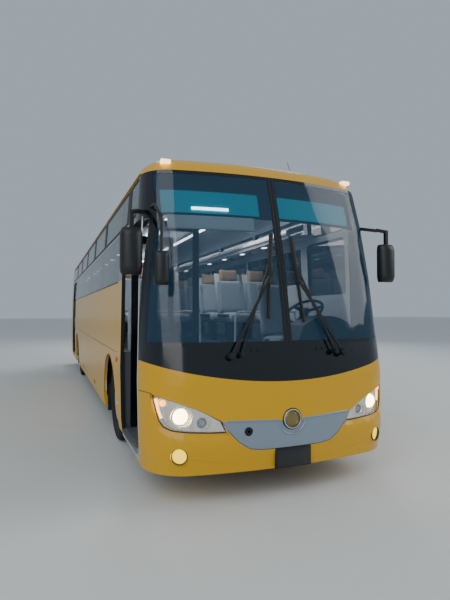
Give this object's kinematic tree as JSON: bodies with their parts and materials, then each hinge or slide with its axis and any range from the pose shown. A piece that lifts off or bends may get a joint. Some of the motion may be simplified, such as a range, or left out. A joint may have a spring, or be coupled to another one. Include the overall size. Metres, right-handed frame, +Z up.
{
  "type": "luxury coach",
  "caption": "Single-deck touring coach with twin rear wheels, raked two-piece windscreen, side luggage flaps and inward-folding passenger doors.",
  "frame": {"origin": "on the floor, under the middle of the bounding box", "axes": "+Y to the rear, +X to the driver's side, +Z up"},
  "size_m": [2.91, 12, 3.36],
  "materials": {
    "body_paint": "gloss",
    "silver_paint": "gloss",
    "black_gloss": "gloss",
    "glass": "clear",
    "lamp_glass": "clear",
    "lamp_chrome": "polished",
    "lamp_white": "gloss",
    "tyre": "matte",
    "rim": "satin",
    "chassis_black": "satin",
    "engine": "rough",
    "seat_cloth": "woven",
    "interior_grey": "matte",
    "dash_black": "matte",
    "mirror_black": "matte",
    "rail_steel": "brushed"
  },
  "bodies": {
    "coach": {"chassis_frame": "chassis_black", "floor_deck": "interior_grey", "entrance_steps": "interior_grey", "side_wall_left": "body_paint", "side_wall_right": "body_paint", "roof_shell": "body_paint", "rear_wall": "body_paint", "front_panel": "body_paint", "front_bumper": "body_paint", "silver_panel": "silver_paint", "scuttle_panel": "black_gloss", "windscreens": "glass", "body_windows": "glass", "headlamp_bodies": "lamp_chrome", "headlamp_lenses": "lamp_glass", "small_lamps": "lamp_white", "mirrors": "mirror_black", "wipers": "mirror_black", "roof_unit": "body_paint", "dashboard": "dash_black", "steering_wheel": "dash_black", "seats": "seat_cloth", "luggage_racks": "interior_grey", "handrails": "rail_steel", "engine_block": "engine", "axle_beams": "chassis_black"},
    "knuckle_left": {"knuckle_left": "chassis_black"},
    "knuckle_right": {"knuckle_right": "chassis_black"},
    "wheel_front_left": {"tyre_front_left": "tyre", "rim_front_left": "rim"},
    "wheels_rear_left": {"tyres_rear_left": "tyre", "rim_rear_left": "rim"},
    "wheel_front_right": {"tyre_front_right": "tyre", "rim_front_right": "rim"},
    "wheels_rear_right": {"tyres_rear_right": "tyre", "rim_rear_right": "rim"},
    "front_door_leaf_1": {"front_door_leaf_1": "black_gloss"},
    "front_door_leaf_2": {"front_door_leaf_2": "black_gloss"},
    "rear_door_leaf_1": {"rear_door_leaf_1": "black_gloss"},
    "rear_door_leaf_2": {"rear_door_leaf_2": "black_gloss"},
    "flap_left_1": {"flap_left_1": "body_paint"},
    "flap_left_2": {"flap_left_2": "body_paint"},
    "flap_right_1": {"flap_right_1": "body_paint"},
    "flap_right_2": {"flap_right_2": "body_paint"},
    "engine_lid": {"engine_lid": "body_paint"}
  },
  "joints": [
    {"name": "steer_left", "type": "hinge", "parent": "coach", "child": "knuckle_left", "pos_m": [0.8, -3.5, 0.522], "axis": [0, 0, 1], "range_deg": [-35, 35]},
    {"name": "steer_right", "type": "hinge", "parent": "coach", "child": "knuckle_right", "pos_m": [-0.8, -3.5, 0.522], "axis": [0, 0, 1], "range_deg": [-35, 35]},
    {"name": "roll_front_left", "type": "hinge", "parent": "knuckle_left", "child": "wheel_front_left", "pos_m": [1.04, -3.5, 0.522], "axis": [1, 0, 0], "continuous": true},
    {"name": "roll_rear_left", "type": "hinge", "parent": "coach", "child": "wheels_rear_left", "pos_m": [0.8725, 3, 0.522], "axis": [1, 0, 0], "continuous": true},
    {"name": "roll_front_right", "type": "hinge", "parent": "knuckle_right", "child": "wheel_front_right", "pos_m": [-1.04, -3.5, 0.522], "axis": [1, 0, 0], "continuous": true},
    {"name": "roll_rear_right", "type": "hinge", "parent": "coach", "child": "wheels_rear_right", "pos_m": [-0.8725, 3, 0.522], "axis": [1, 0, 0], "continuous": true},
    {"name": "front_door_close_1", "type": "hinge", "parent": "coach", "child": "front_door_leaf_1", "pos_m": [-1.15, -5.44, 1.43], "axis": [0, 0, 1], "range_deg": [0, 90]},
    {"name": "front_door_close_2", "type": "hinge", "parent": "coach", "child": "front_door_leaf_2", "pos_m": [-1.15, -4.51, 1.43], "axis": [0, 0, -1], "range_deg": [0, 90]},
    {"name": "rear_door_close_1", "type": "hinge", "parent": "coach", "child": "rear_door_leaf_1", "pos_m": [-1.15, 3.94, 1.46], "axis": [0, 0, 1], "range_deg": [0, 90]},
    {"name": "rear_door_close_2", "type": "hinge", "parent": "coach", "child": "rear_door_leaf_2", "pos_m": [-1.15, 5.11, 1.46], "axis": [0, 0, -1], "range_deg": [0, 90]},
    {"name": "flap_left_1_open", "type": "hinge", "parent": "coach", "child": "flap_left_1", "pos_m": [1.2732, -1.52, 1.16535], "axis": [0, -1, 0], "range_deg": [0, 80]},
    {"name": "flap_left_2_open", "type": "hinge", "parent": "coach", "child": "flap_left_2", "pos_m": [1.2732, 0.83, 1.16535], "axis": [0, -1, 0], "range_deg": [0, 80]},
    {"name": "flap_right_1_open", "type": "hinge", "parent": "coach", "child": "flap_right_1", "pos_m": [-1.2732, -1.52, 1.16535], "axis": [0, 1, 0], "range_deg": [0, 80]},
    {"name": "flap_right_2_open", "type": "hinge", "parent": "coach", "child": "flap_right_2", "pos_m": [-1.2732, 0.83, 1.16535], "axis": [0, 1, 0], "range_deg": [0, 80]},
    {"name": "engine_lid_open", "type": "hinge", "parent": "coach", "child": "engine_lid", "pos_m": [0, 5.99445, 1.44035], "axis": [1, 0, 0], "range_deg": [0, 75]}
  ],
  "couplings": [
    {"joint": "steer_right", "follows": "steer_left", "ratio": 1},
    {"joint": "front_door_close_2", "follows": "front_door_close_1", "ratio": 1},
    {"joint": "rear_door_close_2", "follows": "rear_door_close_1", "ratio": 1}
  ]
}
